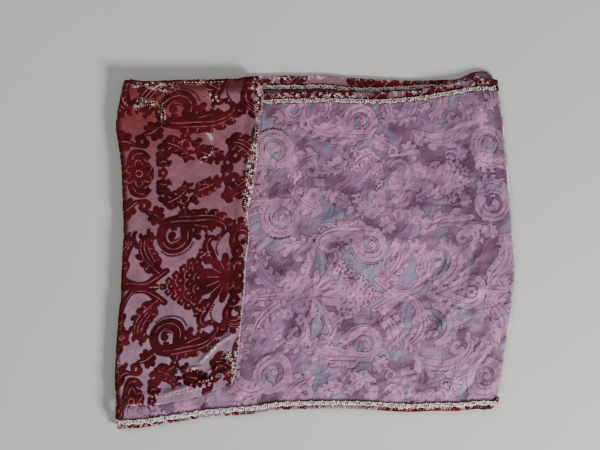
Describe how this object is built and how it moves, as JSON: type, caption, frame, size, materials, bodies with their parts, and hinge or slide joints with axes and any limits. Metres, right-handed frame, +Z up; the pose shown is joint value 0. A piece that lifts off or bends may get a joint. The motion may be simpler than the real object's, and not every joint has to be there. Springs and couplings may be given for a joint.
{
  "type": "folded burnout velvet scarf",
  "caption": "Long burnout-velvet scarf with a damask of scrolls and palmettes, folded into a flat packet, with its end folded back pile side up.",
  "frame": {"origin": "on the surface that the packet lies on, under the middle of its outline", "axes": "+X along the scarf's length, towards the fold at the right; +Y across its width, towards the edge where a lower run shows; +Z up"},
  "size_m": [0.4384, 0.3909, 0.0125],
  "materials": {
    "velvet_pile": "dark wine velvet pile",
    "cloth_back": "sheer matt wrong side, pale mauve",
    "hem_cloth": "turned hem with overlocked edge"
  },
  "bodies": {
    "root": {"folded_layers": "velvet_pile", "main_panel": "cloth_back", "end_flap": "velvet_pile", "panel_bottom_hem": "hem_cloth", "panel_top_hem": "hem_cloth", "lowest_run_hem": "hem_cloth", "flap_end_hem": "hem_cloth", "flap_bottom_hem": "hem_cloth", "flap_top_hem": "hem_cloth"}
  },
  "joints": []
}
